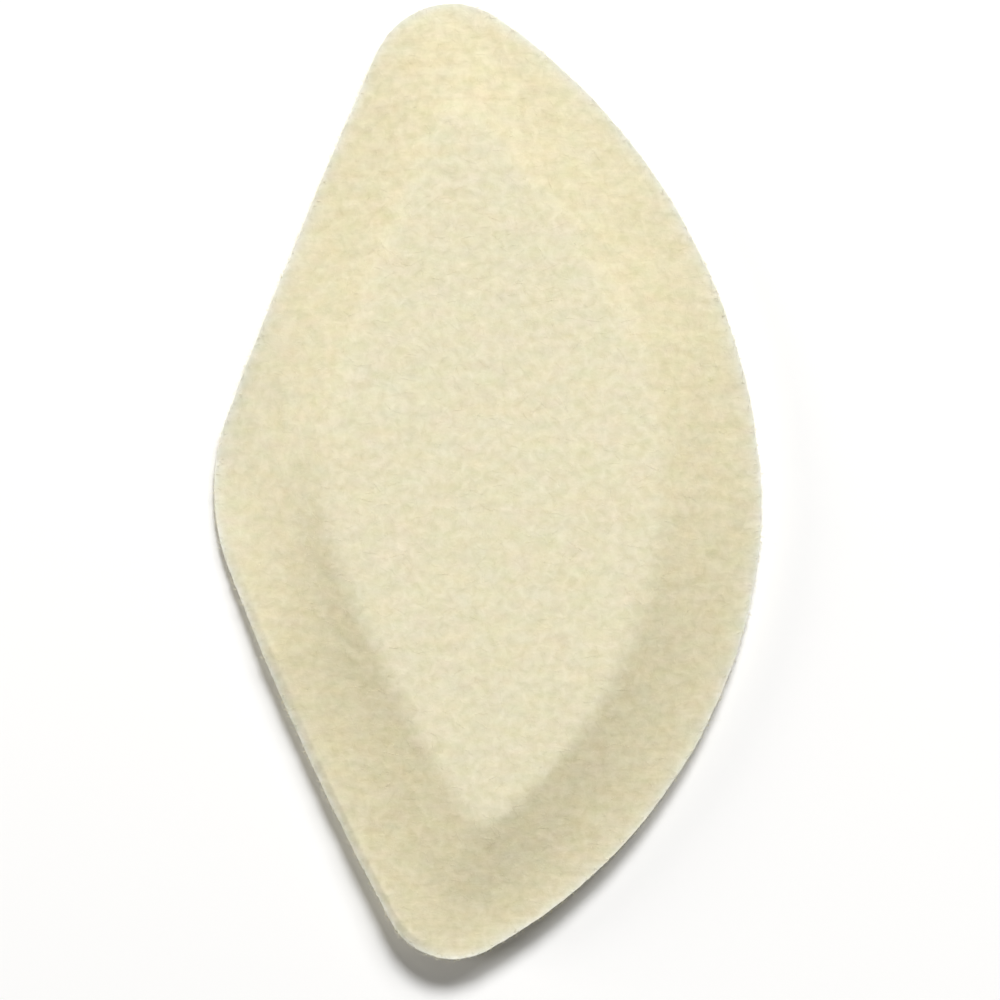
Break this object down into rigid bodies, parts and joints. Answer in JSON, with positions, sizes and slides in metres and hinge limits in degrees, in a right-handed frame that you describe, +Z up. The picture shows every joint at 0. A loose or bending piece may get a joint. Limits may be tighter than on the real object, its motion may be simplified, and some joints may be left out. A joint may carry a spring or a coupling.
{
  "type": "felt arch pad",
  "caption": "Leaf-shaped arch support pad of thick cream wool felt, with a flat raised middle, a hollow skived border and a flat underside.",
  "frame": {"origin": "on the flat underside, at the middle of the outline's length and width", "axes": "+Y along the length towards the front tip, +X towards the round side, +Z up out of the raised middle"},
  "size_m": [0.0518, 0.09, 0.0048],
  "materials": {
    "felt": "matte pressed wool felt, cream, softly mottled"
  },
  "bodies": {
    "root": {"felt_pad": "felt"}
  },
  "joints": []
}
